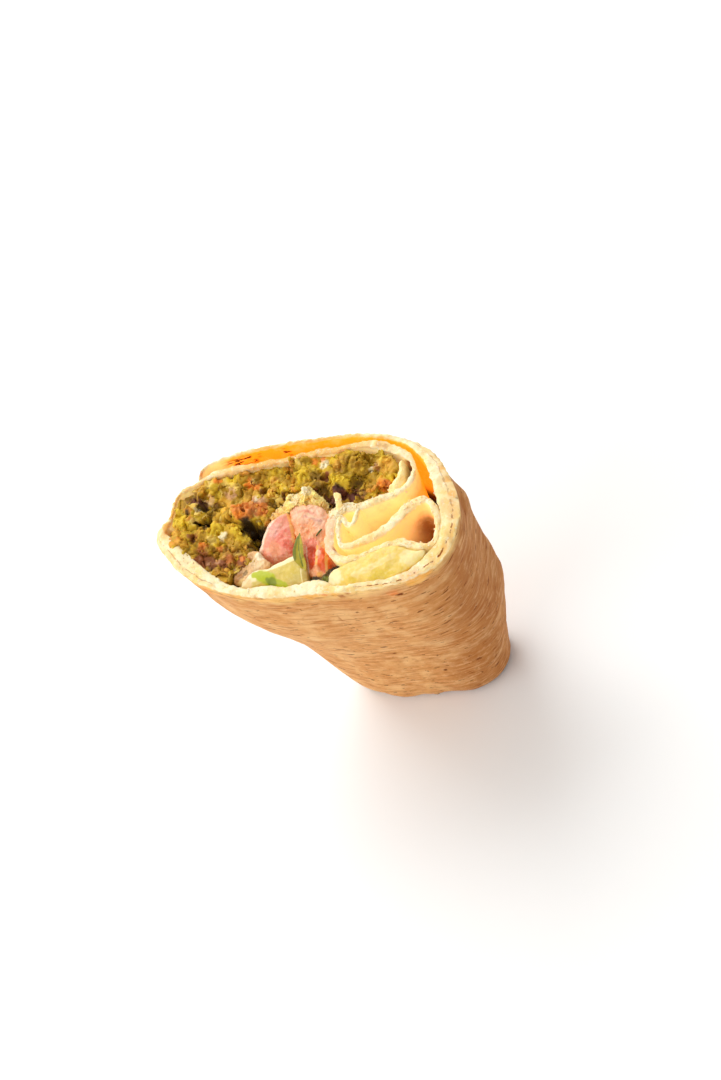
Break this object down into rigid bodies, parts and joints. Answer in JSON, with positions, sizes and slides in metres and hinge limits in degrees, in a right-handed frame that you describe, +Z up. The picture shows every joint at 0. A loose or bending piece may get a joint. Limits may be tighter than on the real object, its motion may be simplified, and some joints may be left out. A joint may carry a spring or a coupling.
{
  "type": "falafel wrap half",
  "caption": "Half of a falafel wrap: a rolled flatbread standing on its folded end, cut face up, filled with falafel, tomato, cucumber, herbs, sauce and shreds.",
  "frame": {"origin": "centre of the footprint on the surface that the folded end stands on", "axes": "+Z up towards the cut face, X along the oval section, Y across it"},
  "size_m": [0.0798, 0.0432, 0.0883],
  "materials": {
    "flatbread": "matt toasted wheat sheet, cream at the cut",
    "falafel": "rough crumb, olive inside and brown at the crust",
    "tomato": "moist cut flesh",
    "cucumber": "moist cut flesh with a green skin",
    "sauce": "soft creamy gloss",
    "shreds": "moist pale shreds",
    "herb": "soft satin leaf",
    "dark_herb": "soft satin leaf in shade"
  },
  "bodies": {
    "root": {"flatbread": "flatbread", "falafel_upper": "falafel", "falafel_lower": "falafel", "tomato_left": "tomato", "tomato_right": "tomato", "cucumber_chunk": "cucumber", "cucumber_slice": "cucumber", "sauce": "sauce", "shreds": "shreds", "herb_leaf": "herb", "dark_leaf": "dark_herb"}
  },
  "joints": []
}
